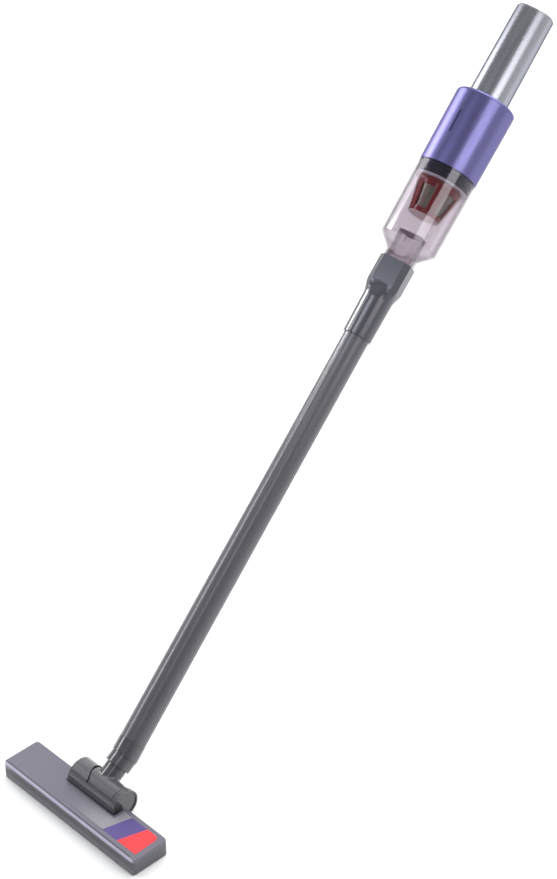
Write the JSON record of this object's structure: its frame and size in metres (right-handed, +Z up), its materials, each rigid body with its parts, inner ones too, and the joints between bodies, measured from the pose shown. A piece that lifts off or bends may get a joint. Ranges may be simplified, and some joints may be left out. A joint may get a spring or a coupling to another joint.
{
  "type": "cordless stick vacuum cleaner",
  "caption": "Slim cordless stick vacuum: flat floor head on a tilting, swivelling neck, straight tube, adapter, clear dust cup with filter, round motor housing and straight handle.",
  "frame": {"origin": "centre of the floor head's underside, on the floor", "axes": "+Z up, +X along the floor head, -Y towards the head's front edge; the stick leans back over +Y"},
  "size_m": [0.2261, 0.8502, 0.7091],
  "materials": {
    "head_cover": "satin moulded ABS",
    "head_base": "fine-textured moulded ABS",
    "label_film": "printed film with a plain purple and a plain red block",
    "pivot_plastic": "satin dark grey ABS",
    "felt": "short felt pile",
    "seal_rubber": "soft matt elastomer",
    "roller_rubber": "soft grey elastomer",
    "steel": "zinc-plated",
    "acetal": "natural white acetal",
    "tube_metal": "dark grey anodised",
    "adapter_plastic": "gloss dark grey ABS",
    "clear_cup": "clear polycarbonate, faint lilac tint",
    "inlet_clear": "smoky clear plastic",
    "filter_red": "dark crimson moulded plastic",
    "filter_grey": "light grey moulded plastic",
    "mount_black": "navy black moulded plastic",
    "mesh_steel": "fine woven screen",
    "filter_paper": "pleated filter paper",
    "housing_purple": "anodised purple",
    "light_bar": "frosted light guide",
    "inner_plastic": "plain moulded plastic",
    "impeller_metal": "machined",
    "motor_steel": "plated motor can",
    "foam": "open-cell filter foam",
    "leads": "insulated wire",
    "handle_silver": "brushed silver",
    "board_green": "circuit board",
    "cell_sleeve": "sleeved cell",
    "nickel": "nickel strip",
    "button_grey": "satin button",
    "socket_black": "black moulded socket"
  },
  "bodies": {
    "head": {"head_base": "head_base", "head_cover": "head_cover", "label_panel": "label_film", "lint_strip_front": "felt", "lint_strip_rear": "felt", "head_screws": "steel", "cradle_screws": "steel", "duct_seal": "seal_rubber", "roller_axles": "steel", "pivot_cradle": "pivot_plastic", "pivot_cap_left": "pivot_plastic", "pivot_cap_right": "pivot_plastic"},
    "roller_left": {"roller_left": "roller_rubber"},
    "roller_right": {"roller_right": "roller_rubber"},
    "neck": {"pivot_barrel": "pivot_plastic", "barrel_seals": "felt", "swivel_ring": "acetal"},
    "elbow": {"swivel_collar": "pivot_plastic", "elbow_coupling": "pivot_plastic"},
    "tube": {"extension_tube": "tube_metal"},
    "adapter": {"wand_adapter": "adapter_plastic", "adapter_seal": "seal_rubber"},
    "cup": {"dust_cup": "clear_cup", "inlet_tube": "inlet_clear", "flap_pin": "steel"},
    "flap": {"flap_valve": "seal_rubber"},
    "filter": {"filter_ring": "filter_grey", "cyclone_frame": "filter_red", "mesh_screen": "mesh_steel", "filter_cartridge": "filter_paper"},
    "unit": {"cup_mount": "mount_black", "cup_seal": "seal_rubber", "motor_housing": "housing_purple", "light_bar": "light_bar", "fan_shroud": "inner_plastic", "fan_damper": "seal_rubber", "motor": "motor_steel", "motor_frame": "inner_plastic", "exhaust_foam": "foam", "motor_leads": "leads", "handle_tube": "handle_silver", "handle_screws": "steel", "control_board": "board_green", "battery_cells": "cell_sleeve", "battery_holder_lower": "inner_plastic", "battery_holder_upper": "inner_plastic", "cell_tabs": "nickel", "end_cap": "handle_silver", "switch_board": "board_green", "charge_socket": "socket_black", "button_dome": "seal_rubber"},
    "rotor": {"impeller": "impeller_metal", "impeller_shaft": "steel"},
    "button": {"power_button": "button_grey"}
  },
  "joints": [
    {"name": "head_pitch", "type": "hinge", "parent": "head", "child": "neck", "pos_m": [0, 0.026, 0.024], "axis": [1, 0, 0], "range_deg": [-22, 40]},
    {"name": "neck_swivel", "type": "hinge", "parent": "neck", "child": "elbow", "pos_m": [0, 0.05574, 0.04429], "axis": [0, 0.8261, 0.5635], "range_deg": [-90, 90]},
    {"name": "roller_left_spin", "type": "hinge", "parent": "head", "child": "roller_left", "pos_m": [-0.075, 0.014, 0.0041], "axis": [1, 0, 0], "continuous": true},
    {"name": "roller_right_spin", "type": "hinge", "parent": "head", "child": "roller_right", "pos_m": [0.075, 0.014, 0.0041], "axis": [1, 0, 0], "continuous": true},
    {"name": "tube_pull", "type": "slide", "parent": "elbow", "child": "tube", "axis": [-0.0872, 0.7552, 0.6496], "range_m": [0, 0.03]},
    {"name": "adapter_pull", "type": "slide", "parent": "tube", "child": "adapter", "axis": [-0.0872, 0.7552, 0.6496], "range_m": [0, 0.03]},
    {"name": "cup_pull", "type": "slide", "parent": "adapter", "child": "cup", "axis": [-0.0872, 0.7552, 0.6496], "range_m": [0, 0.026]},
    {"name": "filter_lift", "type": "slide", "parent": "cup", "child": "filter", "axis": [-0.0872, 0.7552, 0.6496], "range_m": [0, 0.065]},
    {"name": "unit_lift", "type": "slide", "parent": "filter", "child": "unit", "axis": [-0.0872, 0.7552, 0.6496], "range_m": [0, 0.018]},
    {"name": "flap_swing", "type": "hinge", "parent": "cup", "child": "flap", "pos_m": [-0.06335, 0.58891, 0.48491], "axis": [-0.9623, -0.2326, 0.1413], "range_deg": [0, 48]},
    {"name": "impeller_spin", "type": "hinge", "parent": "unit", "child": "rotor", "pos_m": [-0.06885, 0.65817, 0.56143], "axis": [-0.0872, 0.7552, 0.6496], "continuous": true},
    {"name": "power_press", "type": "slide", "parent": "unit", "child": "button", "axis": [0.0872, -0.7552, -0.6496], "range_m": [0, 0.0011], "stiffness_N_per_m": 800, "springref_m": -0.002, "deforming": ["button_dome"]}
  ]
}
